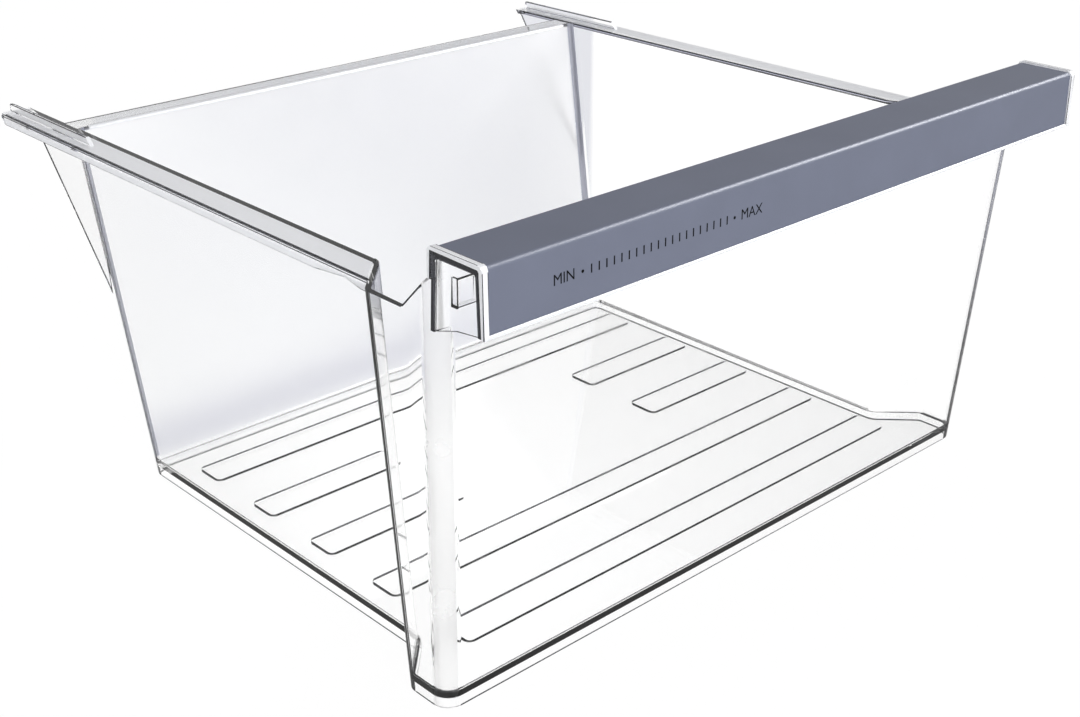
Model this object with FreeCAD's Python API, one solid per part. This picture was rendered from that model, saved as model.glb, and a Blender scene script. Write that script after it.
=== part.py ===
import FreeCAD, Part
import math
import os

from FreeCAD import Vector

# Clear crisper drawer for a refrigerator: one drafted moulding that is wide at the front and steps in
# behind the handle, with runner flanges along both sides and a grey trim snapped over the handle.
# Millimetres. While it is built, Y = 0 is the foot of the front wall and +Y runs to the rear.

# Body, measured on the outside at the foot
front_half_width = 205.0
body_half_width = 183.5
front_section_depth = 26.0
body_depth = 293.0
rim_height = 203.0
wall = 2.6

# How far each wall leans out of the vertical, in degrees
front_lean = 2.9
front_side_draft = 2.45
step_draft = 3.85
side_draft = 2.1
rear_draft = 10.4

# Vertical corner radii, on the outside
front_corner = 10.0
step_corner = 6.5
rear_corner = 6.5

# Floor, carried on a foot rim that runs round the base
floor_lift = 5.4
floor_thickness = 2.6
floor_fillet = 3.0
foot_thickness = 2.6
foot_round = 1.0

# Raised bars on the floor, in rows across the drawer, with steep sides and ramped ends
bar_rows = 5
split_rows = (2, 3)
bar_pitch = 54.05
first_bar_y = 38.15
bar_half_length = 173.0
bar_gap_half = 72.0
bar_width = 20.9
bar_rise = 1.2
bar_side_slope = 0.3
bar_end_slope = 5.0
bar_corner = 4.5
bar_top_corner = 3.0

# Runner flange along the top of each side wall, with a lip turned down along its outer edge
flange_reach = 15.5
flange_thickness = 2.6
flange_round = 2.4
lip_drop = 6.0
lip_round = 0.6
tail_end = 384.0
tail_slant = 5.0

# Detent notch in the lip, where the drawer drops over its stop when it is shut
notch_front = 47.7
notch_peak = 60.6
notch_rear = 85.1
notch_rise = 2.3

# Anti-tip rib on the rear half of each flange
rib_offset = 6.6
rib_thickness = 2.4
rib_height = 4.2
rib_front = 293.0

# Fin in line with the side wall that braces each flange tail, and the flange on the rear wall
fin_foot_height = 109.0
fin_top_drop = 3.0
rear_flange_reach = 12.1
rear_rim_round = 2.4

# Slope from the side rim up to the front wall
shoulder_start = 12.5
shoulder_end = -6.0

# Handle: the front wall turns over into an inverted channel
handle_half_length = 215.0
handle_top = 235.7
handle_depth = 30.8
handle_leg_slant = 0.8
handle_leg_bottom = 205.0
handle_wall = 2.6
handle_front_round = 3.0
handle_inner_round = 1.6
handle_foot = 199.0

# Trim bed: the handle is set back between two end lips so that the trim lies just under them, and
# the plate that carries the trim ends a little short of the lips
end_lip = 3.2
lip_overhang = 0.5
rear_lip_round = 2.2
trim_thickness = 1.2
trim_below_lip = 0.8
trim_end_gap = 0.15
trim_foot = 206.4
trim_corner_relief = 0.3

# End webs, bosses and the latch nub inside the handle
web_thickness = 1.6
web_setback = 1.0
web_knee = (13.0, 203.0)
boss_outer_x = 205.0
boss_width = 12.0
boss_top_drop = 15.0
boss_height = 13.0
boss_depth = 4.3
boss_wall = 1.2
boss_round = 0.8
nub_x = -125.0
nub_length = 6.0
nub_drop = 1.4

# Worked out from the sizes above
trim_bed = trim_thickness + trim_below_lip
leg_wall = trim_bed + handle_wall
channel_roof = handle_top - leg_wall
bed_top = handle_top - trim_bed
shoulder_top = rim_height + shoulder_start - shoulder_end
floor_top = floor_lift + floor_thickness


def lean(height, degrees):
    """Sideways travel of a face that leans by so many degrees over this height."""
    return height * math.tan(math.radians(degrees))


def square_to(thickness, degrees):
    """Level distance through a leaning wall of this thickness."""
    return thickness / math.cos(math.radians(degrees))


def front_face(z, inset=0.0):
    return -lean(z, front_lean) + square_to(inset, front_lean)


def side_face(z, inset=0.0):
    return body_half_width + lean(z, side_draft) - square_to(inset, side_draft)


def rear_face(z, inset=0.0):
    return body_depth + lean(z, rear_draft) - square_to(inset, rear_draft)


def right_corners(z, inset):
    """Corners of the body's right half at one height, from the front corner to the rear one."""
    wide = front_half_width + lean(z, front_side_draft) - square_to(inset, front_side_draft)
    narrow = side_face(z, inset)
    step_travel = lean(z, step_draft) - square_to(inset, step_draft)
    step_sum = front_half_width + front_section_depth + math.sqrt(2.0) * step_travel
    return [
        Vector(wide, front_face(z, inset), z),
        Vector(wide, step_sum - wide, z),
        Vector(narrow, step_sum - narrow, z),
        Vector(narrow, rear_face(z, inset), z),
    ]


def mirrored(point):
    return Vector(-point.x, point.y, point.z)


def closed(points):
    return Part.makePolygon(points + [points[0]])


def outline(z, inset):
    right = right_corners(z, inset)
    return right + [mirrored(p) for p in reversed(right)]


def flat_sided(lower, upper):
    """The solid between two outlines with the same number of corners, one flat face to each side."""
    count = len(lower)
    faces = [Part.Face(closed(lower[::-1])), Part.Face(closed(upper))]
    for i in range(count):
        j = (i + 1) % count
        faces.append(Part.Face(closed([lower[i], lower[j], upper[j], upper[i]])))
    return Part.makeSolid(Part.makeShell(faces))


def rounded(corners, radii):
    """A closed outline through these corners, each rounded by its own radius (0 keeps it sharp)."""
    count = len(corners)
    starts = []
    ends = []
    for i, corner in enumerate(corners):
        to_last = (corners[i - 1] - corner).normalize()
        to_next = (corners[(i + 1) % count] - corner).normalize()
        reach = radii[i] / math.tan(to_last.getAngle(to_next) / 2.0)
        starts.append(corner + to_last * reach)
        ends.append(corner + to_next * reach)
    edges = []
    for i, corner in enumerate(corners):
        if radii[i] > 0:
            inwards = ((starts[i] + ends[i]) * 0.5 - corner).normalize()
            half_angle = (starts[i] - corner).getAngle(inwards)
            middle = corner + inwards * (radii[i] / math.sin(half_angle) - radii[i])
            edges.append(Part.Arc(starts[i], middle, ends[i]).toShape())
        edges.append(Part.makeLine(ends[i], starts[(i + 1) % count]))
    return Part.Wire(edges)


def nearest_edges(shape, places):
    """The edges of the shape whose middles lie at these places."""
    return [min(shape.Edges, key=lambda e: (e.CenterOfMass - place).Length) for place in places]


def drafted_block(low, high, inset, bottom_round=0.0):
    """The body's plan between two heights, with leaning walls, round corners and a rounded bottom edge."""
    block = flat_sided(outline(low, inset), outline(high, inset))
    radii = [front_corner - inset, step_corner - inset, step_corner + inset, rear_corner - inset]
    lower = right_corners(low, inset)
    upper = right_corners(high, inset)
    for corner, radius in enumerate(radii):
        middle = (lower[corner] + upper[corner]) * 0.5
        block = block.makeFillet(radius, nearest_edges(block, [middle, mirrored(middle)]))
    if bottom_round > 0:
        bottom = min(block.Faces, key=lambda f: f.CenterOfMass.z)
        block = block.makeFillet(bottom_round, bottom.OuterWire.Edges)
    return block


def across(profile, x0, x1):
    """A (y, z) outline drawn from x0 to x1."""
    wire = closed([Vector(x0, y, z) for y, z in profile])
    return Part.Face(wire).extrude(Vector(x1 - x0, 0, 0))


def mirror_pair(shape):
    return [shape, shape.mirror(Vector(0, 0, 0), Vector(1, 0, 0))]


def drawn_across(points, radii, x0, x1):
    """As across, with each corner of the (y, z) outline rounded by its own radius."""
    wire = rounded([Vector(x0, y, z) for y, z in points], radii)
    return Part.Face(wire).extrude(Vector(x1 - x0, 0, 0))


def rounded_rectangle(centre_x, centre_y, length, width, radius, z):
    corners = [Vector(centre_x + sx * length / 2, centre_y + sy * width / 2, z)
               for sx, sy in ((-1, -1), (1, -1), (1, 1), (-1, 1))]
    return rounded(corners, [radius] * len(corners))


def floor_bar(centre_x, centre_y, length):
    """One raised bar on the floor."""
    foot = rounded_rectangle(centre_x, centre_y, length, bar_width, bar_corner, floor_top)
    top = rounded_rectangle(centre_x, centre_y, length - 2 * bar_end_slope, bar_width - 2 * bar_side_slope,
                            bar_top_corner, floor_top + bar_rise)
    return Part.makeLoft([foot, top], True, True)


def bar_places():
    """Centre and length of every floor bar, row by row from the front."""
    places = []
    for row in range(bar_rows):
        y = first_bar_y + row * bar_pitch
        if row in split_rows:
            length = bar_half_length - bar_gap_half
            middle = bar_gap_half + length / 2
            places += [(-middle, y, length), (middle, y, length)]
        else:
            places.append((0.0, y, 2 * bar_half_length))
    return places


def make_runner():
    """The right-hand flange with its lip, tail, rib and fin."""
    inner = side_face(rim_height, wall)
    outer = side_face(rim_height) + flange_reach
    lip_bottom = rim_height - lip_drop
    under = rim_height - flange_thickness
    start = front_section_depth
    profile = [(inner, rim_height), (outer, rim_height), (outer, lip_bottom),
               (outer - flange_thickness, lip_bottom), (outer - flange_thickness, under), (inner, under)]
    radii = [0, flange_round, lip_round, lip_round, lip_round, 0]
    wire = rounded([Vector(x, start, z) for x, z in profile], radii)
    flange = Part.Face(wire).extrude(Vector(0, tail_end - start, 0))
    past = outer + wall
    slanted_end = [(tail_end, rim_height), (tail_end - tail_slant, lip_bottom),
                   (tail_end + wall, lip_bottom), (tail_end + wall, rim_height)]
    notch = [(notch_front, lip_bottom), (notch_peak, lip_bottom + notch_rise), (notch_rear, lip_bottom)]
    flange = flange.cut(across(slanted_end, inner - wall, past))
    flange = flange.cut(across(notch, outer - 2 * flange_thickness, past))
    rib_x = side_face(rim_height) + rib_offset
    rib_top = rim_height + rib_height
    rib = across([(rib_front, rim_height - flange_thickness / 2), (rib_front, rim_height),
                  (rib_front + rib_height, rib_top), (tail_end, rib_top),
                  (tail_end, rim_height - flange_thickness / 2)], rib_x, rib_x + rib_thickness)
    fin_foot = rear_face(fin_foot_height, wall / 2)
    fin_outline = [(fin_foot, fin_foot_height), (tail_end - tail_slant, rim_height - fin_top_drop),
                   (tail_end - tail_slant, rim_height), (fin_foot, rim_height)]
    low = [Vector(side_face(fin_foot_height, i), y, fin_foot_height)
           for i, y in ((0, body_depth), (wall, body_depth), (wall, tail_end), (0, tail_end))]
    high = [Vector(side_face(rim_height, i), y, rim_height)
            for i, y in ((0, body_depth), (wall, body_depth), (wall, tail_end), (0, tail_end))]
    slab = flat_sided(low, high)
    fin = slab.common(across(fin_outline, 0, past))
    return flange.fuse([rib, fin])


def leg_face(z, inset=0.0):
    """Front face of the handle's hanging leg."""
    top_y = front_face(handle_top, wall) - handle_depth
    slant = handle_leg_slant / (handle_top - handle_leg_bottom)
    return top_y - (handle_top - z) * slant + inset


def make_channel():
    """The inverted channel: a plate that carries the trim, between lips that ring its two ends."""
    back_top = front_face(handle_top, wall)
    section = [(front_face(handle_foot), handle_foot), (front_face(channel_roof), channel_roof),
               (leg_face(channel_roof, leg_wall), channel_roof),
               (leg_face(handle_leg_bottom, leg_wall), handle_leg_bottom),
               (leg_face(handle_leg_bottom), handle_leg_bottom), (leg_face(handle_top), handle_top),
               (back_top, handle_top), (front_face(handle_foot, wall), handle_foot)]
    radii = [0, handle_inner_round, handle_inner_round, 0, 0, handle_front_round, 0, 0]
    channel = drawn_across(section, radii, -handle_half_length, handle_half_length)

    lip_start = handle_half_length - end_lip
    rear_lip = [(front_face(shoulder_top, wall / 2), shoulder_top),
                (front_face(handle_top, wall / 2), handle_top), (back_top + trim_bed, handle_top),
                (front_face(shoulder_top, wall) + trim_bed, shoulder_top)]
    rear_lip = drawn_across(rear_lip, [0, 0, rear_lip_round, 0], lip_start, handle_half_length)
    channel = channel.fuse(mirror_pair(rear_lip))

    clear = handle_depth
    bed_round = handle_front_round - trim_bed + trim_corner_relief
    bed = [(back_top + clear, bed_top), (leg_face(bed_top, trim_bed), bed_top),
           (leg_face(trim_foot, trim_bed), trim_foot), (leg_face(trim_foot) - clear, trim_foot),
           (leg_face(trim_foot) - clear, handle_top + clear), (back_top + clear, handle_top + clear)]
    bed = drawn_across(bed, [0, bed_round, 0, 0, 0, 0], -lip_start, lip_start)
    plate_end = [(front_face(handle_foot, wall), handle_foot), (front_face(bed_top, wall), bed_top),
                 (leg_face(bed_top, trim_bed), bed_top), (leg_face(handle_foot, trim_bed), handle_foot)]
    plate_end = drawn_across(plate_end, [0, 0, bed_round, 0], handle_half_length - lip_overhang,
                             handle_half_length + lip_overhang)
    return channel.cut([bed] + mirror_pair(plate_end))


def make_web():
    """The sheet that closes the right-hand end of the channel."""
    foot_y = front_face(handle_foot)
    web_outline = [(foot_y, handle_foot), (foot_y - web_knee[0], web_knee[1]),
                   (leg_face(handle_leg_bottom, leg_wall - handle_wall / 2), handle_leg_bottom),
                   (leg_face(channel_roof, leg_wall - handle_wall / 2), channel_roof),
                   (front_face(channel_roof), channel_roof)]
    web_x = handle_half_length - web_setback
    return across(web_outline, web_x - web_thickness, web_x)


def make_boss():
    """The right-hand boss on the front wall: a small box, open at the top."""
    high = handle_top - boss_top_drop
    low = high - boss_height
    front = front_face(low) - boss_depth
    root = front_face(low, wall / 2)
    inner_x = boss_outer_x - boss_width
    boss = across([(root, low), (front, low), (front, high), (root, high)], inner_x, boss_outer_x)
    front_edges = [e for e in boss.Edges if abs(e.CenterOfMass.y - front) < boss_round / 2]
    boss = boss.makeFillet(boss_round, front_edges)
    pocket_floor = low + boss_wall
    pocket_mouth = high + boss_wall
    pocket = across([(front_face(high), pocket_floor), (front + boss_wall, pocket_floor),
                     (front + boss_wall, pocket_mouth), (front_face(high), pocket_mouth)],
                    inner_x + boss_wall, boss_outer_x - boss_wall)
    return boss.cut(pocket)


def make_nub():
    """The latch nub under the foot of the handle's leg."""
    rear = leg_face(handle_leg_bottom, leg_wall)
    front = leg_face(handle_leg_bottom, trim_bed)
    return across([(front, handle_leg_bottom), (front, handle_leg_bottom - nub_drop / 2),
                   (rear, handle_leg_bottom - nub_drop), (rear, handle_leg_bottom)],
                  nub_x - nub_length / 2, nub_x + nub_length / 2)


def make_handle():
    return make_channel().fuse(mirror_pair(make_web()) + mirror_pair(make_boss()) + [make_nub()])


def rear_rim_cutter():
    """What is taken off the inner edge of the rear rim to round it into the flange."""
    slant = math.radians(rear_draft)
    half = side_face(rim_height, wall) - rear_corner
    centre_z = rim_height - rear_rim_round
    centre_y = rear_face(centre_z, wall) + square_to(rear_rim_round, rear_draft)
    on_wall = (centre_y - rear_rim_round * math.cos(slant), centre_z + rear_rim_round * math.sin(slant))
    kite = [on_wall, (rear_face(rim_height, wall), rim_height), (centre_y, rim_height),
            (centre_y, centre_z)]
    rod = Part.makeCylinder(rear_rim_round, 2 * half, Vector(-half, centre_y, centre_z), Vector(1, 0, 0))
    return across(kite, -half, half).cut(rod)


def make_rear_flange():
    inner = rear_face(rim_height, wall)
    outer = rear_face(rim_height) + rear_flange_reach
    under = rim_height - flange_thickness
    half = side_face(rim_height, wall / 2)
    return across([(inner, rim_height), (outer, rim_height), (outer, under), (inner, under)], -half, half)


def make_pan():
    above = handle_top + wall
    body = drafted_block(0, channel_roof, 0, foot_round)
    over_rim = [(shoulder_start, rim_height), (shoulder_end, shoulder_top), (shoulder_end, above),
                (tail_end, above), (tail_end, rim_height)]
    reach = 2 * front_half_width
    body = body.cut(across(over_rim, -reach, reach))
    body = body.fuse(mirror_pair(make_runner()) + [make_rear_flange()])

    inside = drafted_block(floor_top, above, wall, floor_fillet)
    underside = drafted_block(-wall, floor_lift, foot_thickness)
    body = body.cut([inside, underside, rear_rim_cutter()])
    bars = [floor_bar(x, y, length) for x, y, length in bar_places()]
    return body.fuse(bars + [make_handle()]).removeSplitter()


def make_trim():
    """The cover that lies in the handle's bed: a top plate and a front plate joined by a rounded edge."""
    back_top = front_face(handle_top, wall)
    top = handle_top - trim_below_lip
    section = [(back_top, top), (leg_face(top, trim_below_lip), top),
               (leg_face(trim_foot, trim_below_lip), trim_foot), (leg_face(trim_foot, trim_bed), trim_foot),
               (leg_face(bed_top, trim_bed), bed_top), (back_top, bed_top)]
    outer_round = handle_front_round - trim_below_lip
    inner_round = handle_front_round - trim_bed
    half = handle_half_length - end_lip - trim_end_gap
    return drawn_across(section, [0, outer_round, 0, 0, inner_round, 0], -half, half)


def main():
    os.makedirs("parts", exist_ok=True)
    centre_y = (tail_end + leg_face(handle_leg_bottom)) / 2
    for name, shape in (("crisper_pan", make_pan()), ("handle_trim", make_trim())):
        shape.translate(Vector(0, -centre_y, 0))
        shape.exportStep("parts/" + name + ".step")
        box = shape.BoundBox
        print(name, len(shape.Solids), "solid", len(shape.Faces), "faces", "valid", shape.isValid(),
              "volume cm3", round(shape.Volume / 1000, 1), "X", round(box.XMin, 1), round(box.XMax, 1),
              "Y", round(box.YMin, 1), round(box.YMax, 1), "Z", round(box.ZMin, 1), round(box.ZMax, 1))


main()
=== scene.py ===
import math

import bmesh
import bpy
from mathutils import Matrix, Vector


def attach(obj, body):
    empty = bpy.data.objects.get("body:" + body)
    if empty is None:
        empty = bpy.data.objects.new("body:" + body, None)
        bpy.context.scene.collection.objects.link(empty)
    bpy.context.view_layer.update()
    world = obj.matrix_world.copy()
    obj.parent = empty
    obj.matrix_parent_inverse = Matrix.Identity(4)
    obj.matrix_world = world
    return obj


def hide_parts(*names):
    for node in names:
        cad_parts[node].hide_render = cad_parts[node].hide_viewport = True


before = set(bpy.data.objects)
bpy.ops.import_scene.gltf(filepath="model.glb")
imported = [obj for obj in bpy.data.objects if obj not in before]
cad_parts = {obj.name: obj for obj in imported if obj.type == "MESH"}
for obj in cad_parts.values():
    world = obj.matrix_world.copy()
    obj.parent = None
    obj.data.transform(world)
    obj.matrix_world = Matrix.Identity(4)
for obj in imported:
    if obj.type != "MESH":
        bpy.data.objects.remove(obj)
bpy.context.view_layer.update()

bl_info = {
    "name": "Crisper Drawer",
    "version": (1, 0, 0),
    "blender": (4, 5, 0),
    "location": "View3D > Sidebar > Crisper",
    "description": "Dresses the clear refrigerator drawer: pan, handle trim, printed scale and studio",
    "category": "Object",
}

MM = 0.001

# How the solids' facets are read: which belong to a round, which edges are creases, which faces are level
WIDEST_FACET = 3.5 * MM
SHARPEST_FACET = math.radians(47)
FLATTEST_CREASE = math.radians(3)
SAME_FACE = math.radians(0.2)
SAME_POINT = 0.001 * MM
FLUSH = 0.01 * MM
HAIR = 0.1 * MM
LEVEL = 0.98
FACING_FRONT = -0.9
FACING_SIDE = 0.95

# Painted dark lines along the long outward edges, and the foot of the handle's leg, which has none
LINE_WIDTH = 0.4 * MM
SHORTEST_LINE = 8 * MM
FLATTEST_LINE = math.radians(10)
LEG_REAR = -200 * MM
LEG_FOOT = 206 * MM

# The rim, and the cuts that part the clear wall tops from the grained flange and the frosted rear rim
RIM = 203 * MM
RIM_SLACK = 1 * MM
WALL_TOP_SIDE = 192 * MM
WALL_TOP_REAR = 152.5 * MM
WALL_TOP_SLANT = 79.5 * MM
WALL_TOP_CUTS = (
    ((-WALL_TOP_SIDE, 0, RIM), (1, 0, 0)),
    ((WALL_TOP_SIDE, 0, RIM), (1, 0, 0)),
    ((0, WALL_TOP_REAR, RIM), (0, 1, 0)),
    ((0, WALL_TOP_SLANT, RIM), (-1, 1, 0)),
    ((0, WALL_TOP_SLANT, RIM), (1, 1, 0)),
)

# The field of the floor bars, their heights, how far their ends draw in and the strip along their tops that
# wears a painted dark line
BAR_FIELD_HALF = 175 * MM
BAR_FIELD_FRONT = -146 * MM
BAR_FIELD_REAR = 95 * MM
BAR_FOOT = 8.0 * MM
BAR_TOP = 9.2 * MM
BAR_END_SHORTER = 4.4 * MM
BAR_END_LEAN = 0.03
BAR_SIDE_LEAN = (0.1, 0.85)
BAR_STRIP = 1.7 * MM

# Where the finishes lie on the pan: distances from its middle, heights, and how far a facet leans
LONG_FACE = 200 * MM
TALL_ROUND = 90 * MM
ROUND_TURN = (0.04, 0.98)
ROUND_LEAN = 0.3
FRONT_CORNERS = -150 * MM
FLANGE_TOP = (191.9 * MM, 205 * MM)
FLANGE_LIP = 206 * MM
FLANGE_LIP_HEIGHTS = (197 * MM, 201 * MM)
FLANGE_LIP_AREA = 500 * MM * MM
FLANGE_LIP_FACING = 0.99
FLANGE_ROUND_FOOT = 200.5 * MM
FLANGE_ROUND_LEAN = 0.2
FLANGE_ROUND_LINES = ((0.45, 0.65), (0.87, 0.95))
RIB_ENDS = (100 * MM, 130 * MM)
RIB_END_LEAN = 0.5
REAR_ROUND = 120 * MM
REAR_ROUND_HEIGHTS = (200 * MM, 203.1 * MM)
REAR_ROUND_LEAN = 0.02
END_LIP = (211.7 * MM, 214.9 * MM)
END_LIP_FOOT = 204.9 * MM
END_LIP_TOP = 233.5 * MM
END_LIP_FRONT = -210.6 * MM
HANDLE_WALL_ENDS = (214.3 * MM, 214.8 * MM)

# Plastics and ink: how strongly they bend light, and the sizes of their patterns
STYRENE_IOR = 1.57
ABS_IOR = 1.5
INK_IOR = 1.5
HAZE_SIZE = 25 * MM
STIPPLE_SIZE = 1.8 * MM
STIPPLE_DEPTH = 0.3 * MM
CLOUD_SIZE = 30 * MM
SPARK_SIZE = 0.5 * MM
SPARK_DEPTH = 0.05 * MM
MOTTLE_SIZE = 1.5 * MM
NOISE_LOW = 0.3
NOISE_HIGH = 0.7

# Printing: a capital's height as a share of the font's size, and the sides of a round dot
CAPITAL_SHARE = 0.7
DOT_SIDES = 20

# Sockets of the node that mixes two colours
MIX_A = 6
MIX_B = 7
MIX_RESULT = 2

# Light that comes through the plastic or is mirrored in it
SURFACE_GAIN = 1.075
MOST_GAIN = 1.8
STRAIGHT_GLOW = 1.02
MIRRORED_GLOW = 0.45
SPENT_DARK = "#15161B"
SPENT_PALE = "#B4B6C6"
SPENT_FADE = (0.3, 0.45)

# The studio's floor in metres, with the drawer's footprint and the painted shade behind the drawer that only
# the plastic shows. A pair is where a soft edge starts and ends.
FLOOR_HALF = 6.0
FLOOR_GAP = 0.2 * MM
FLOOR_GLOW = 0.95
FOOTPRINT_HALF_WIDTH = 0.19
FOOTPRINT_HALF_DEPTH = 0.145
FOOTPRINT_MIDDLE = -0.025
SHADE_PATCH_RIGHT = (-0.061, -0.053)
SHADE_PATCH_LEFT = (-0.262, -0.254)
SHADE_PATCH_LEFT_SLANT = -0.508
SHADE_PATCH_FRONT = (0.12, 0.15)
SHADE_PATCH_STRIP = (0.16, 0.2)
SHADE_PATCH_FADE = (-0.15, 0.42)

# The studio's sky, by how far a direction points up
LILAC_SKY = (0.02, 0.3)
DARK_SKY = (0.35, 0.7)
MIRRORED_SKY = (0.3, 0.9)
MIRRORED_STRENGTH = (0.5, 0.2)
AMBIENT_STRENGTH = 0.68

# The camera
CAMERA_PLACE = (-0.58092, -0.63354, 0.45747)
CAMERA_TURN = (65.0587, -0.249, -43.0965)
CAMERA_LENS = 52.942
CAMERA_SENSOR = 36.0


def linear(hex_colour):
    """Linear RGB of an sRGB colour written as #RRGGBB."""
    channels = [int(hex_colour[i:i + 2], 16) / 255 for i in (1, 3, 5)]
    return tuple(c / 12.92 if c <= 0.04045 else ((c + 0.055) / 1.055) ** 2.4 for c in channels)


class CrisperFinish(bpy.types.PropertyGroup):
    """Colours and finishes of the drawer."""

    clear_tint: bpy.props.FloatVectorProperty(
        name="Clear tint", description="Colour that light takes on in the clear plastic",
        subtype="COLOR", size=3, min=0, max=1, default=linear("#FFFFFF"))
    stipple_tint: bpy.props.FloatVectorProperty(
        name="Stipple tint", description="Colour of the grained flange and the handle's lips",
        subtype="COLOR", size=3, min=0, max=1, default=linear("#FAFBFF"))
    # Painted shade: the corner tint greys the inside of the rear corners.
    corner_shade_tint: bpy.props.FloatVectorProperty(
        name="Corner tint", description="Colour of the rear corners inside",
        subtype="COLOR", size=3, min=0, max=1, default=linear("#A9ABBA"))
    # Painted shade: the edge tint darkens the long edges and strips into dark lines.
    edge_shade_tint: bpy.props.FloatVectorProperty(
        name="Edge tint", description="Colour that light takes on in the long edges",
        subtype="COLOR", size=3, min=0, max=1, default=linear("#26272E"))
    trim_colour: bpy.props.FloatVectorProperty(
        name="Trim colour", description="Colour of the handle trim",
        subtype="COLOR", size=3, min=0, max=1, default=linear("#6A6F80"))
    ink_colour: bpy.props.FloatVectorProperty(
        name="Ink colour", description="Colour of the printed scale",
        subtype="COLOR", size=3, min=0, max=1, default=linear("#08080B"))


class CrisperPrint(bpy.types.PropertyGroup):
    """Layout of the scale on the trim's front face."""

    ticks: bpy.props.IntProperty(name="Ticks", description="Number of marks on the scale", default=20, min=2)
    first_tick: bpy.props.FloatProperty(
        name="First tick", description="Where the scale starts, from the middle of the drawer",
        subtype="DISTANCE", unit="LENGTH", default=-155.8 * MM)
    tick_pitch: bpy.props.FloatProperty(
        name="Tick pitch", description="Distance from one mark to the next",
        subtype="DISTANCE", unit="LENGTH", default=4.4 * MM)
    tick_height: bpy.props.FloatProperty(
        name="Tick height", description="Height of one mark",
        subtype="DISTANCE", unit="LENGTH", default=3.9 * MM)
    tick_width: bpy.props.FloatProperty(
        name="Tick width", description="Width of one mark",
        subtype="DISTANCE", unit="LENGTH", default=0.75 * MM)
    dot: bpy.props.FloatProperty(
        name="Dot", description="Diameter of the dot at each end of the scale",
        subtype="DISTANCE", unit="LENGTH", default=1.5 * MM)
    dot_gap: bpy.props.FloatProperty(
        name="Dot gap", description="From the last mark to the middle of the dot",
        subtype="DISTANCE", unit="LENGTH", default=5.0 * MM)
    word_gap: bpy.props.FloatProperty(
        name="Word gap", description="From the middle of the dot to the word",
        subtype="DISTANCE", unit="LENGTH", default=4.2 * MM)
    letter_height: bpy.props.FloatProperty(
        name="Letter height", description="Height of a capital letter",
        subtype="DISTANCE", unit="LENGTH", default=4.8 * MM)
    height: bpy.props.FloatProperty(
        name="Height", description="Height of the scale's middle above the floor",
        subtype="DISTANCE", unit="LENGTH", default=219.5 * MM)
    film: bpy.props.FloatProperty(
        name="Ink film", description="Thickness of the printed ink",
        subtype="DISTANCE", unit="LENGTH", default=0.04 * MM)


def add_node(tree, kind, inputs=None, **settings):
    """Adds one node, sets its options, and fills or links its inputs."""
    node = tree.nodes.new(kind)
    for name, value in settings.items():
        setattr(node, name, value)
    for name, value in (inputs or {}).items():
        if isinstance(value, bpy.types.NodeSocket):
            tree.links.new(value, node.inputs[name])
        else:
            node.inputs[name].default_value = value
    return node


def new_material(name):
    """An empty node material and its node tree."""
    material = bpy.data.materials.new(name)
    material.use_nodes = True
    tree = material.node_tree
    tree.nodes.clear()
    return material, tree


def rgba(colour):
    """The colour with full cover, as a node's socket takes it."""
    return (colour[0], colour[1], colour[2], 1.0)


def styrene(name, tint, least_rough, most_rough, clearness=1.0):
    """Moulded styrene of one polish, with a haze that drifts slowly over the surface."""
    material, tree = new_material(name)
    place = add_node(tree, "ShaderNodeTexCoord")
    haze = add_node(tree, "ShaderNodeTexNoise", {
        "Vector": place.outputs["Object"], "Scale": 1 / HAZE_SIZE, "Detail": 3.0})
    rough = add_node(tree, "ShaderNodeMapRange", {
        "Value": haze.outputs["Fac"], "From Min": NOISE_LOW, "From Max": NOISE_HIGH,
        "To Min": least_rough, "To Max": most_rough})
    surface = add_node(tree, "ShaderNodeBsdfPrincipled", {
        "Base Color": rgba(tint), "Roughness": rough.outputs["Result"], "IOR": STYRENE_IOR,
        "Transmission Weight": clearness})
    add_node(tree, "ShaderNodeOutputMaterial", {"Surface": surface.outputs["BSDF"]})
    return material


def clear_styrene(finish):
    """Clear styrene from a polished mould: sharp to look through, bright edges."""
    return styrene("Clear moulded styrene", finish.clear_tint, least_rough=0.0, most_rough=0.03)


def soft_styrene(finish):
    """The front corner rounds, polished by hand: what lies behind runs together into a soft pale band."""
    return styrene("Softened moulded styrene", finish.clear_tint, least_rough=0.26, most_rough=0.32)


def frosted_styrene(finish):
    """The same styrene where the mould was only stoned: what lies behind turns into an even grey."""
    return styrene("Frosted moulded styrene", finish.clear_tint, least_rough=0.4, most_rough=0.5)


def painted_corner_shade(finish):
    """The inside of the rear corners, with painted shade: a grey-lilac tint gives a lilac band to the floor,
    standing in for how light gathers between two walls.
    """
    return styrene("Painted corner shade styrene", finish.corner_shade_tint, least_rough=0.3, most_rough=0.4,
                   clearness=0.3)


def painted_edge_shade(finish):
    """The broken edge of the styrene, with a painted dark line: a dark tint stands in for light from far
    inside coming out here.
    """
    return styrene("Painted edge shade styrene", finish.edge_shade_tint, least_rough=0.05, most_rough=0.15,
                   clearness=0.3)


def stippled_styrene(finish):
    """The same styrene from an etched patch of the mould: a grain like frost, drawn coarse enough to show."""
    material, tree = new_material("Stippled moulded styrene")
    place = add_node(tree, "ShaderNodeTexCoord")
    grain = add_node(tree, "ShaderNodeTexNoise", {
        "Vector": place.outputs["Object"], "Scale": 1 / STIPPLE_SIZE, "Detail": 2.0})
    relief = add_node(tree, "ShaderNodeBump", {
        "Height": grain.outputs["Fac"], "Strength": 0.7, "Distance": STIPPLE_DEPTH})
    surface = add_node(tree, "ShaderNodeBsdfPrincipled", {
        "Base Color": rgba(finish.stipple_tint), "Roughness": 0.3, "IOR": STYRENE_IOR,
        "Transmission Weight": 0.2, "Normal": relief.outputs["Normal"]})
    add_node(tree, "ShaderNodeOutputMaterial", {"Surface": surface.outputs["BSDF"]})
    return material


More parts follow.
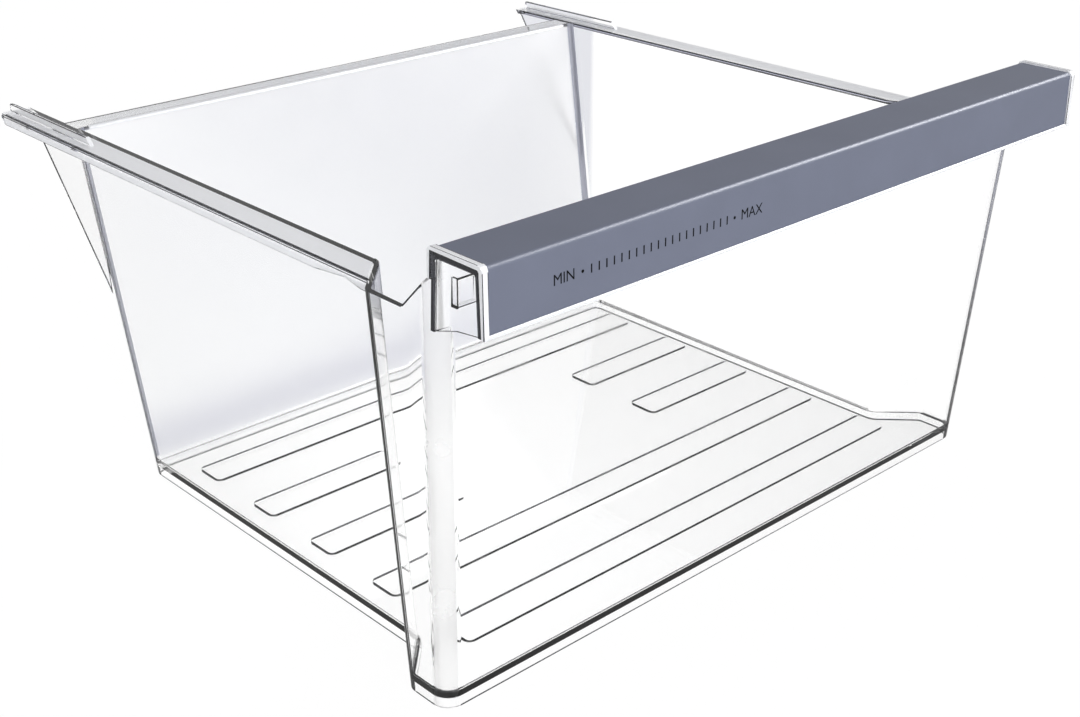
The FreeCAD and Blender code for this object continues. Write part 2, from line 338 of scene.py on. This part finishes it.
def satin_abs(finish):
    """Satin ABS from a spark-eroded mould: fine even grain, soft broad highlights."""
    material, tree = new_material("Satin grey ABS")
    place = add_node(tree, "ShaderNodeTexCoord")
    cloud = add_node(tree, "ShaderNodeTexNoise", {
        "Vector": place.outputs["Object"], "Scale": 1 / CLOUD_SIZE, "Detail": 2.0})
    shade = add_node(tree, "ShaderNodeMapRange", {
        "Value": cloud.outputs["Fac"], "From Min": NOISE_LOW, "From Max": NOISE_HIGH,
        "To Min": 0.97, "To Max": 1.03})
    tint = add_node(tree, "ShaderNodeVectorMath", {
        0: finish.trim_colour, "Scale": shade.outputs["Result"]}, operation="SCALE")
    grain = add_node(tree, "ShaderNodeTexNoise", {
        "Vector": place.outputs["Object"], "Scale": 1 / SPARK_SIZE, "Detail": 2.0})
    relief = add_node(tree, "ShaderNodeBump", {
        "Height": grain.outputs["Fac"], "Strength": 0.15, "Distance": SPARK_DEPTH})
    surface = add_node(tree, "ShaderNodeBsdfPrincipled", {
        "Base Color": tint.outputs["Vector"], "Roughness": 0.42, "IOR": ABS_IOR,
        "Specular IOR Level": 0.25, "Normal": relief.outputs["Normal"]})
    add_node(tree, "ShaderNodeOutputMaterial", {"Surface": surface.outputs["BSDF"]})
    return material


def pad_ink(finish):
    """Pad-printed ink: dark, flat and a little less glossy than the plastic."""
    material, tree = new_material("Pad printed ink")
    place = add_node(tree, "ShaderNodeTexCoord")
    mottle = add_node(tree, "ShaderNodeTexNoise", {
        "Vector": place.outputs["Object"], "Scale": 1 / MOTTLE_SIZE, "Detail": 2.0})
    rough = add_node(tree, "ShaderNodeMapRange", {
        "Value": mottle.outputs["Fac"], "From Min": NOISE_LOW, "From Max": NOISE_HIGH,
        "To Min": 0.45, "To Max": 0.6})
    surface = add_node(tree, "ShaderNodeBsdfPrincipled", {
        "Base Color": rgba(finish.ink_colour), "Roughness": rough.outputs["Result"], "IOR": INK_IOR,
        "Specular IOR Level": 0.1})
    add_node(tree, "ShaderNodeOutputMaterial", {"Surface": surface.outputs["BSDF"]})
    return material


def new_piece(name, mesh, material):
    """Puts a finished mesh in the scene, on the drawer's body and in its material slot."""
    piece = bpy.data.objects.new(name, mesh)
    bpy.context.scene.collection.objects.link(piece)
    mesh.materials.clear()
    mesh.materials.append(material)
    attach(piece, "root")
    return piece


def across_edge(face, edge):
    """How far a face reaches from the line of one of its edges."""
    start = edge.verts[0].co
    along = (edge.verts[1].co - start).normalized()
    return max((v.co - start - along * (v.co - start).dot(along)).length for v in face.verts)


def is_crisp(edge):
    """A crisp edge turns sharply, or joins two faces that are both too wide to be a facet of a round."""
    if not edge.is_manifold:
        return True
    turn = edge.calc_face_angle()
    wide = min(across_edge(face, edge) for face in edge.link_faces) > WIDEST_FACET
    return turn > SHARPEST_FACET or (wide and turn > FLATTEST_CREASE)


def on_bar(corners):
    """Whether a face with these corners belongs to a floor bar, between the floor and the bar's top."""
    return all(abs(corner.x) < BAR_FIELD_HALF and BAR_FIELD_FRONT < corner.y < BAR_FIELD_REAR
               and BAR_FOOT - HAIR < corner.z < BAR_TOP + HAIR for corner in corners)


def steepen_bar_ends(shape):
    """Draws the foot of each bar's sloping end in, so that the bar ends in a short steep face."""
    for side in (-1, 1):
        ends = [face for face in shape.faces
                if face.normal.x * side > BAR_END_LEAN and on_bar([vert.co for vert in face.verts])]
        foot = {vert for face in ends for vert in face.verts if vert.co.z < BAR_FOOT + HAIR}
        bmesh.ops.translate(shape, verts=list(foot), vec=(-side * BAR_END_SHORTER, 0, 0))
    shape.normal_update()


def strip_bar_tops(shape):
    """Sets a narrow strip off along the rear edge of each bar's top, which wears a painted dark line."""
    tops = [face for face in shape.faces
            if face.normal.z > LEVEL and on_bar([vert.co for vert in face.verts])
            and all(vert.co.z > BAR_TOP - HAIR for vert in face.verts)]
    for top in tops:
        rear = max(vert.co.y for vert in top.verts)
        bmesh.ops.bisect_plane(shape, geom=[top, *top.edges, *top.verts], dist=SAME_POINT,
                               plane_co=(0, rear - BAR_STRIP, BAR_TOP), plane_no=(0, 1, 0))


def cut_level_faces(shape, place, across):
    """Parts the level faces at the height of a place along a plane through it."""
    level = [face for face in shape.faces
             if face.normal.z > LEVEL and abs(face.verts[0].co.z - place[2]) < FLUSH]
    edges = {edge for face in level for edge in face.edges}
    verts = {vert for face in level for vert in face.verts}
    bmesh.ops.bisect_plane(shape, geom=[*level, *edges, *verts], dist=SAME_POINT,
                           plane_co=place, plane_no=across)


def moulded_copy(node, name, cuts=()):
    """A merged copy of a solid, with its rounds shaded smooth, its edges crisp and its level top cut up."""
    shape = bmesh.new()
    shape.from_mesh(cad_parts[node].data)
    bmesh.ops.remove_doubles(shape, verts=shape.verts, dist=SAME_POINT)
    bmesh.ops.dissolve_limit(shape, angle_limit=SAME_FACE, verts=shape.verts, edges=shape.edges,
                             use_dissolve_boundaries=False, delimit=set())
    steepen_bar_ends(shape)
    for face in shape.faces:
        face.smooth = True
    for edge in shape.edges:
        edge.smooth = not is_crisp(edge)
    for place, across in cuts:
        cut_level_faces(shape, place, across)
    strip_bar_tops(shape)
    mesh = bpy.data.meshes.new(name)
    shape.to_mesh(mesh)
    shape.free()
    return mesh


def line_edges(piece):
    """Breaks the long outward edges with a narrow flat that wears the piece's last material, a painted dark
    line.
    """
    shape = bmesh.new()
    shape.from_mesh(piece.data)
    weight = shape.edges.layers.float.new("bevel_weight_edge")
    for edge in shape.edges:
        long = edge.calc_length() > SHORTEST_LINE
        outward = edge.is_manifold and edge.is_convex and edge.calc_face_angle() > FLATTEST_LINE
        leg_foot = all(vert.co.y < LEG_REAR and vert.co.z < LEG_FOOT for vert in edge.verts)
        edge[weight] = float(long and outward and not edge.smooth and not leg_foot)
    shape.to_mesh(piece.data)
    shape.free()
    broken = piece.modifiers.new("painted_edge_lines", "BEVEL")
    broken.limit_method = "WEIGHT"
    broken.width = LINE_WIDTH
    broken.segments = 1
    broken.use_clamp_overlap = False
    broken.material = len(piece.data.materials) - 1


def keep_flats_flat(piece):
    """Lets the large flat faces set the shading normals, so that only the rounds shade as rounds."""
    normals = piece.modifiers.new("flat_faces", "WEIGHTED_NORMAL")
    normals.mode = "FACE_AREA_WITH_ANGLE"
    normals.keep_sharp = True


def corners_of(face, mesh):
    """The places of a face's corners."""
    return [mesh.vertices[i].co for i in face.vertices]


def box_of(face, mesh):
    """Lowest and highest place of a face along X, Y and Z."""
    corners = corners_of(face, mesh)
    return [(min(c[axis] for c in corners), max(c[axis] for c in corners)) for axis in range(3)]


def is_tall_round(face, mesh):
    """A facet of a corner round that runs from the floor to the rim."""
    _, _, (low, high) = box_of(face, mesh)
    least, most = ROUND_TURN
    turned = least < abs(face.normal.x) < most and least < abs(face.normal.y) < most
    return turned and abs(face.normal.z) < ROUND_LEAN and high - low > TALL_ROUND


def is_rim_top(face, mesh):
    """A level face at the height of the rim."""
    _, _, (low, high) = box_of(face, mesh)
    return face.normal.z > LEVEL and low > RIM - RIM_SLACK and high < RIM + RIM_SLACK


def is_frosted(face, mesh):
    """The mould is stoned inside the rear wall, on the rear rim and round the outside of the rear corners."""
    (left, right), (front, _), _ = box_of(face, mesh)
    wide = right - left > LONG_FACE
    rear_wall = face.normal.y < FACING_FRONT and front > 0 and wide
    rear_rim = is_rim_top(face, mesh) and wide
    outer_corner = is_tall_round(face, mesh) and front > 0 and face.normal.y > 0
    return rear_wall or rear_rim or outer_corner


def is_rear_corner(face, mesh):
    """The tall rounds inside the rear corners, which wear the painted corner shade."""
    _, (front, _), _ = box_of(face, mesh)
    return is_tall_round(face, mesh) and front > 0 and face.normal.y < 0


def is_softened(face, mesh):
    """The tall rounds of the front corners are polished less well than the walls."""
    _, (front, _), _ = box_of(face, mesh)
    return is_tall_round(face, mesh) and front < FRONT_CORNERS


def is_stippled(face, mesh):
    """The flange's top and lip, the ribs' ends, the rear rim's round and the handle's lips are grained."""
    (left, right), (front, rear), (low, high) = box_of(face, mesh)
    innermost = min(abs(left), abs(right))
    outermost = max(abs(left), abs(right))
    sideways = abs(face.normal.x)
    flange_top = is_rim_top(face, mesh) and innermost > FLANGE_TOP[0] and outermost < FLANGE_TOP[1]
    flange_lip = (sideways > FLANGE_LIP_FACING and outermost > FLANGE_LIP and face.area > FLANGE_LIP_AREA
                  and low > FLANGE_LIP_HEIGHTS[0] and high < FLANGE_LIP_HEIGHTS[1])
    rib_end = (face.normal.z > RIB_END_LEAN and face.normal.y < -RIB_END_LEAN and low > RIM - RIM_SLACK
               and front > RIB_ENDS[0] and rear < RIB_ENDS[1])
    rear_round = (REAR_ROUND_LEAN < face.normal.z < LEVEL and front > REAR_ROUND
                  and low > REAR_ROUND_HEIGHTS[0] and high < REAR_ROUND_HEIGHTS[1])
    outer_end = outermost > END_LIP[1] and sideways > FACING_SIDE
    handle_lip = innermost > END_LIP[0] and low > END_LIP_FOOT and (
        outer_end or low > END_LIP_TOP or front < END_LIP_FRONT)
    return flange_top or flange_lip or rib_end or rear_round or handle_lip


def is_painted_dark_edge(face, mesh):
    """Painted dark lines where light would stay caught: the handle wall's ends, the bars' sides and strips
    and the flange's round.
    """
    (left, right), (front, rear), (low, _) = box_of(face, mesh)
    innermost = min(abs(left), abs(right))
    sideways = abs(face.normal.x)
    handle_wall = sideways > FACING_SIDE and HANDLE_WALL_ENDS[0] < innermost < HANDLE_WALL_ENDS[1]
    bar_side = BAR_SIDE_LEAN[0] < face.normal.z < BAR_SIDE_LEAN[1]
    bar_strip = low > BAR_TOP - HAIR and rear - front < BAR_STRIP + HAIR
    bar_line = on_bar(corners_of(face, mesh)) and (bar_side or bar_strip)
    round_line = any(least < sideways < most for least, most in FLANGE_ROUND_LINES)
    flange_round = (round_line and face.normal.z > FLANGE_ROUND_LEAN and low > FLANGE_ROUND_FOOT
                    and rear - front > LONG_FACE)
    return handle_wall or bar_line or flange_round


# Finishes on the clear pan, each with the faces that wear it; the corner and edge finishes are painted shade.
# A later one covers an earlier one, and the last one also lines the edges with painted dark lines.
PAN_FINISHES = (
    (frosted_styrene, is_frosted),
    (painted_corner_shade, is_rear_corner),
    (soft_styrene, is_softened),
    (stippled_styrene, is_stippled),
    (painted_edge_shade, is_painted_dark_edge),
)


class CRISPER_OT_pan(bpy.types.Operator):
    """Dress the moulded pan in clear styrene"""

    bl_idname = "crisper.pan"
    bl_label = "Clear pan"

    def execute(self, context):
        finish = context.scene.crisper_finish
        mesh = moulded_copy("crisper_pan", "clear_pan", WALL_TOP_CUTS)
        pan = new_piece("clear_pan", mesh, clear_styrene(finish))
        for index, (material, wears_it) in enumerate(PAN_FINISHES, start=1):
            mesh.materials.append(material(finish))
            for face in mesh.polygons:
                if wears_it(face, mesh):
                    face.material_index = index
        line_edges(pan)
        keep_flats_flat(pan)
        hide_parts("crisper_pan")
        return {"FINISHED"}


class CRISPER_OT_trim(bpy.types.Operator):
    """Dress the handle trim in satin grey plastic"""

    bl_idname = "crisper.trim"
    bl_label = "Handle trim"

    def execute(self, context):
        finish = context.scene.crisper_finish
        mesh = moulded_copy("handle_trim", "grey_trim")
        trim = new_piece("grey_trim", mesh, satin_abs(finish))
        keep_flats_flat(trim)
        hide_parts("handle_trim")
        return {"FINISHED"}


def trim_face():
    """The turn that lays a flat drawing on the trim's leaning front face, and a point of that face."""
    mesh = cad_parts["handle_trim"].data
    front = max((p for p in mesh.polygons if p.normal.y < FACING_FRONT), key=lambda p: p.area)
    outwards = front.normal.copy()
    right = Vector((1, 0, 0))
    up = outwards.cross(right)
    turn = Matrix((right, up, outwards)).transposed().to_4x4()
    return turn, front.center.copy()


def ink_patch(shape, low, high):
    """Adds one flat rectangle of ink to the drawing, stretched from a unit square."""
    centre = (Vector(low) + Vector(high)) / 2
    size = Vector(high) - Vector(low)
    place = Matrix.Translation(centre.to_3d()) @ Matrix.Diagonal((size.x, size.y, 1, 1))
    bmesh.ops.create_grid(shape, x_segments=1, y_segments=1, size=0.5, matrix=place)


def ink_word(shape, word, x, align, height):
    """Adds a word to the drawing, level with the middle of the scale."""
    curve = bpy.data.curves.new(word, "FONT")
    curve.body = word
    curve.align_x = align
    curve.align_y = "CENTER"
    curve.size = height / CAPITAL_SHARE
    text = bpy.data.objects.new(word, curve)
    bpy.context.scene.collection.objects.link(text)
    letters = bpy.data.meshes.new_from_object(text.evaluated_get(bpy.context.evaluated_depsgraph_get()))
    letters.transform(Matrix.Translation((x, 0, 0)))
    shape.from_mesh(letters)
    bpy.data.objects.remove(text)
    bpy.data.curves.remove(curve)
    bpy.data.meshes.remove(letters)


class CRISPER_OT_scale(bpy.types.Operator):
    """Print the scale on the front of the trim"""

    bl_idname = "crisper.scale"
    bl_label = "Printed scale"

    def execute(self, context):
        layout = context.scene.crisper_print
        shape = bmesh.new()
        last_tick = layout.first_tick + (layout.ticks - 1) * layout.tick_pitch
        for i in range(layout.ticks):
            x = layout.first_tick + i * layout.tick_pitch
            ink_patch(shape, (x - layout.tick_width / 2, -layout.tick_height / 2),
                      (x + layout.tick_width / 2, layout.tick_height / 2))
        ends = ((layout.first_tick, -1, "MIN", "RIGHT"), (last_tick, 1, "MAX", "LEFT"))
        for end, side, word, align in ends:
            dot_x = end + side * layout.dot_gap
            bmesh.ops.create_circle(shape, cap_ends=True, segments=DOT_SIDES, radius=layout.dot / 2,
                                    matrix=Matrix.Translation((dot_x, 0, 0)))
            ink_word(shape, word, dot_x + side * layout.word_gap, align, layout.letter_height)
        bmesh.ops.recalc_face_normals(shape, faces=shape.faces)
        sheet = bmesh.ops.extrude_face_region(shape, geom=shape.faces[:])
        raised = [v for v in sheet["geom"] if isinstance(v, bmesh.types.BMVert)]
        bmesh.ops.translate(shape, verts=raised, vec=(0, 0, layout.film))
        bmesh.ops.recalc_face_normals(shape, faces=shape.faces)
        turn, face_point = trim_face()
        up = turn.to_3x3() @ Vector((0, 1, 0))
        middle = face_point + up * ((layout.height - face_point.z) / up.z)
        middle.x = 0
        bmesh.ops.transform(shape, matrix=Matrix.Translation(middle) @ turn, verts=shape.verts)
        mesh = bpy.data.meshes.new("printed_scale")
        shape.to_mesh(mesh)
        shape.free()
        new_piece("printed_scale", mesh, pad_ink(context.scene.crisper_finish))
        return {"FINISHED"}


def spent_light(tree, path):
    """One for light that was thrown about inside the plastic before it came out, else nought."""
    bounced = add_node(tree, "ShaderNodeMath", {
        0: path.outputs["Glossy Depth"], 1: 0.5}, operation="GREATER_THAN")
    return add_node(tree, "ShaderNodeMath", {
        0: bounced.outputs[0], 1: path.outputs["Is Transmission Ray"]}, operation="MULTIPLY").outputs[0]


def glow_strength(tree, path):
    """Makes up for what each surface of the plastic turns back, and dims what the plastic mirrors."""
    gain = add_node(tree, "ShaderNodeMath", {
        0: SURFACE_GAIN, 1: path.outputs["Transmission Depth"]}, operation="POWER")
    gain = add_node(tree, "ShaderNodeMath", {0: gain.outputs[0], 1: MOST_GAIN}, operation="MINIMUM")
    mirrored = add_node(tree, "ShaderNodeMath", {
        0: path.outputs["Is Glossy Ray"], 1: path.outputs["Is Transmission Ray"]}, operation="SUBTRACT")
    dim = add_node(tree, "ShaderNodeMapRange", {
        "Value": mirrored.outputs[0], "To Min": STRAIGHT_GLOW, "To Max": MIRRORED_GLOW})
    return add_node(tree, "ShaderNodeMath", {
        0: gain.outputs[0], 1: dim.outputs[0]}, operation="MULTIPLY").outputs[0]


def shade_patch_share(tree, path, spot):
    """One where the plastic shows the painted shade behind the drawer, nought elsewhere, with soft edges
    between.
    """
    x = spot.outputs["X"]
    y = spot.outputs["Y"]
    right = add_node(tree, "ShaderNodeMath", {0: y, 1: x}, operation="SUBTRACT")
    left = add_node(tree, "ShaderNodeMath", {0: y, 1: SHADE_PATCH_LEFT_SLANT, 2: x}, operation="MULTIPLY_ADD")
    share = path.outputs["Is Transmission Ray"]
    limits = ((right.outputs[0], SHADE_PATCH_RIGHT), (left.outputs[0], SHADE_PATCH_LEFT), (y, SHADE_PATCH_FRONT))
    for reach, (start, end) in limits:
        inside = add_node(tree, "ShaderNodeMapRange", {"Value": reach, "From Min": start, "From Max": end})
        share = add_node(tree, "ShaderNodeMath", {
            0: share, 1: inside.outputs[0]}, operation="MULTIPLY").outputs[0]
    return share


def shade_patch_colour(tree, spot):
    """The painted shade behind the drawer: nearly white on the left, grey on the right, with a darker strip
    along its front, nearest the drawer.
    """
    fade = add_node(tree, "ShaderNodeMapRange", {
        "Value": spot.outputs["X"], "From Min": SHADE_PATCH_FADE[0], "From Max": SHADE_PATCH_FADE[1]})
    strip = add_node(tree, "ShaderNodeMapRange", {
        "Value": spot.outputs["Y"], "From Min": SHADE_PATCH_STRIP[0], "From Max": SHADE_PATCH_STRIP[1],
        "To Min": 1.0, "To Max": 0.0})
    shade_patch_tone = add_node(tree, "ShaderNodeMix", {
        "Factor": fade.outputs[0], MIX_A: rgba(linear("#FDFEFF")), MIX_B: rgba(linear("#DEDFE4"))},
        data_type="RGBA")
    return add_node(tree, "ShaderNodeMix", {
        "Factor": strip.outputs[0], MIX_A: shade_patch_tone.outputs[MIX_RESULT], MIX_B: rgba(linear("#D6D7E0"))},
        data_type="RGBA").outputs[MIX_RESULT]


def beside_drawer(tree, spot):
    """One on the floor outside the drawer's footprint, else nought."""
    across = add_node(tree, "ShaderNodeMath", {0: spot.outputs["X"]}, operation="ABSOLUTE")
    along = add_node(tree, "ShaderNodeMath", {
        0: spot.outputs["Y"], 1: FOOTPRINT_MIDDLE}, operation="SUBTRACT")
    along = add_node(tree, "ShaderNodeMath", {0: along.outputs[0]}, operation="ABSOLUTE")
    wide = add_node(tree, "ShaderNodeMath", {
        0: across.outputs[0], 1: FOOTPRINT_HALF_WIDTH}, operation="GREATER_THAN")
    deep = add_node(tree, "ShaderNodeMath", {
        0: along.outputs[0], 1: FOOTPRINT_HALF_DEPTH}, operation="GREATER_THAN")
    return add_node(tree, "ShaderNodeMath", {
        0: wide.outputs[0], 1: deep.outputs[0]}, operation="MAXIMUM").outputs[0]


def spent_colour(tree, spot):
    """Spent light is nearly black, and turns to lilac far off to the right and the rear."""
    away = add_node(tree, "ShaderNodeMath", {0: spot.outputs["Y"], 1: spot.outputs["X"]}, operation="ADD")
    far_off = add_node(tree, "ShaderNodeMapRange", {
        "Value": away.outputs[0], "From Min": SPENT_FADE[0], "From Max": SPENT_FADE[1]})
    return add_node(tree, "ShaderNodeMix", {
        "Factor": far_off.outputs[0], MIX_A: rgba(linear(SPENT_DARK)), MIX_B: rgba(linear(SPENT_PALE))},
        data_type="RGBA").outputs[MIX_RESULT]


def studio_floor():
    """White seamless paper: white to the eye and through the plastic, with a soft shadow and painted shade
    behind the drawer that only the plastic shows.
    """
    material, tree = new_material("White seamless paper")
    path = add_node(tree, "ShaderNodeLightPath")
    place = add_node(tree, "ShaderNodeTexCoord")
    spot = add_node(tree, "ShaderNodeSeparateXYZ", {"Vector": place.outputs["Object"]})
    shade = add_node(tree, "ShaderNodeMix", {
        "Factor": shade_patch_share(tree, path, spot), MIX_A: rgba(linear("#FFFFFF")),
        MIX_B: shade_patch_colour(tree, spot)}, data_type="RGBA")
    dark = add_node(tree, "ShaderNodeMath", {
        0: beside_drawer(tree, spot), 1: spent_light(tree, path)}, operation="MULTIPLY")
    shade = add_node(tree, "ShaderNodeMix", {
        "Factor": dark.outputs[0], MIX_A: shade.outputs[MIX_RESULT], MIX_B: spent_colour(tree, spot)},
        data_type="RGBA")
    seen = path.outputs["Is Camera Ray"]
    for ray in ("Is Transmission Ray", "Is Glossy Ray"):
        seen = add_node(tree, "ShaderNodeMath", {
            0: seen, 1: path.outputs[ray]}, operation="MAXIMUM").outputs[0]
    share = add_node(tree, "ShaderNodeMath", {0: seen, 1: FLOOR_GLOW}, operation="MULTIPLY")
    paper = add_node(tree, "ShaderNodeBsdfDiffuse", {"Color": rgba(linear("#F3F3F3"))})
    glow = add_node(tree, "ShaderNodeEmission", {
        "Color": shade.outputs[MIX_RESULT], "Strength": glow_strength(tree, path)})
    mix = add_node(tree, "ShaderNodeMixShader", {
        "Fac": share.outputs[0], 1: paper.outputs[0], 2: glow.outputs[0]})
    add_node(tree, "ShaderNodeOutputMaterial", {"Surface": mix.outputs[0]})
    return material


def sky_through_plastic(tree, path, height):
    """The sky as the plastic shows it: white at the horizon, lilac above, dark overhead or when spent."""
    colour = rgba(linear("#FFFFFF"))
    for (start, end), above in ((LILAC_SKY, "#A9ABB8"), (DARK_SKY, "#0E0F13")):
        share = add_node(tree, "ShaderNodeMapRange", {"Value": height, "From Min": start, "From Max": end})
        colour = add_node(tree, "ShaderNodeMix", {
            "Factor": share.outputs[0], MIX_A: colour, MIX_B: rgba(linear(above))},
            data_type="RGBA").outputs[MIX_RESULT]
    return add_node(tree, "ShaderNodeMix", {
        "Factor": spent_light(tree, path), MIX_A: colour, MIX_B: rgba(linear(SPENT_DARK))},
        data_type="RGBA").outputs[MIX_RESULT]


def studio_world():
    """The studio's sky: white to the eye, dimmer as light and in the gloss, darker through the plastic."""
    world = bpy.data.worlds.new("Studio")
    world.use_nodes = True
    tree = world.node_tree
    tree.nodes.clear()
    path = add_node(tree, "ShaderNodeLightPath")
    way = add_node(tree, "ShaderNodeTexCoord")
    split = add_node(tree, "ShaderNodeSeparateXYZ", {"Vector": way.outputs["Generated"]})
    height = split.outputs["Z"]
    mirrored = add_node(tree, "ShaderNodeMapRange", {
        "Value": height, "From Min": MIRRORED_SKY[0], "From Max": MIRRORED_SKY[1],
        "To Min": MIRRORED_STRENGTH[0], "To Max": MIRRORED_STRENGTH[1]})
    white = rgba(linear("#FFFFFF"))
    soft = add_node(tree, "ShaderNodeBackground", {"Color": white, "Strength": AMBIENT_STRENGTH})
    gloss = add_node(tree, "ShaderNodeBackground", {"Color": white, "Strength": mirrored.outputs[0]})
    through = add_node(tree, "ShaderNodeBackground", {
        "Color": sky_through_plastic(tree, path, height), "Strength": glow_strength(tree, path)})
    plain = add_node(tree, "ShaderNodeBackground", {"Color": white, "Strength": 1.0})
    shown = soft.outputs[0]
    for ray, sky in (("Is Glossy Ray", gloss), ("Is Transmission Ray", through), ("Is Camera Ray", plain)):
        shown = add_node(tree, "ShaderNodeMixShader", {
            "Fac": path.outputs[ray], 1: shown, 2: sky.outputs[0]}).outputs[0]
    add_node(tree, "ShaderNodeOutputWorld", {"Surface": shown})
    return world


def soft_box(name, place, target, size, power):
    """A square area lamp aimed at a point."""
    lamp = bpy.data.lights.new(name, "AREA")
    lamp.size = size
    lamp.energy = power
    box = bpy.data.objects.new(name, lamp)
    box.location = place
    box.rotation_euler = (Vector(target) - Vector(place)).to_track_quat("-Z", "Y").to_euler()
    bpy.context.scene.collection.objects.link(box)
    return box


class CRISPER_OT_stage(bpy.types.Operator):
    """Set the white studio, its lamps and the camera"""

    bl_idname = "crisper.stage"
    bl_label = "Studio"

    def execute(self, context):
        scene = context.scene
        shape = bmesh.new()
        bmesh.ops.create_grid(shape, x_segments=1, y_segments=1, size=FLOOR_HALF)
        mesh = bpy.data.meshes.new("studio_floor")
        shape.to_mesh(mesh)
        shape.free()
        mesh.materials.append(studio_floor())
        floor = bpy.data.objects.new("studio_floor", mesh)
        floor.location.z = -FLOOR_GAP
        scene.collection.objects.link(floor)
        scene.world = studio_world()
        soft_box("key", place=(-1.0, -2.2, 0.8), target=(0, 0, 0.1), size=1.2, power=27)
        soft_box("fill", place=(1.6, -1.2, 1.0), target=(0, 0, 0.1), size=1.2, power=9)
        edge_light = soft_box("edge_light", place=(1.48, -0.82, 1.38), target=(0, -0.2, 0.23),
                              size=1.0, power=80)
        edge_light.visible_diffuse = False
        edge_light.visible_transmission = False
        view = bpy.data.cameras.new("camera")
        view.sensor_width = CAMERA_SENSOR
        view.lens = CAMERA_LENS
        camera = bpy.data.objects.new("camera", view)
        camera.location = CAMERA_PLACE
        camera.rotation_euler = [math.radians(turn) for turn in CAMERA_TURN]
        scene.collection.objects.link(camera)
        scene.camera = camera
        scene.view_settings.view_transform = "Standard"
        return {"FINISHED"}


class CRISPER_PT_panel(bpy.types.Panel):
    """Sidebar panel that lists the drawer's pieces"""

    bl_idname = "CRISPER_PT_panel"
    bl_label = "Crisper drawer"
    bl_space_type = "VIEW_3D"
    bl_region_type = "UI"
    bl_category = "Crisper"

    def draw(self, context):
        for operator in (CRISPER_OT_pan, CRISPER_OT_trim, CRISPER_OT_scale, CRISPER_OT_stage):
            self.layout.operator(operator.bl_idname)
        for group in (context.scene.crisper_finish, context.scene.crisper_print):
            for name in group.__annotations__:
                self.layout.prop(group, name)


CLASSES = (CrisperFinish, CrisperPrint, CRISPER_OT_pan, CRISPER_OT_trim, CRISPER_OT_scale, CRISPER_OT_stage,
           CRISPER_PT_panel)


def register():
    for cls in CLASSES:
        bpy.utils.register_class(cls)
    bpy.types.Scene.crisper_finish = bpy.props.PointerProperty(type=CrisperFinish)
    bpy.types.Scene.crisper_print = bpy.props.PointerProperty(type=CrisperPrint)


def unregister():
    del bpy.types.Scene.crisper_print
    del bpy.types.Scene.crisper_finish
    for cls in reversed(CLASSES):
        bpy.utils.unregister_class(cls)


def main():
    register()
    bpy.ops.crisper.pan()
    bpy.ops.crisper.trim()
    bpy.ops.crisper.scale()
    bpy.ops.crisper.stage()


if __name__ == "__main__":
    main()
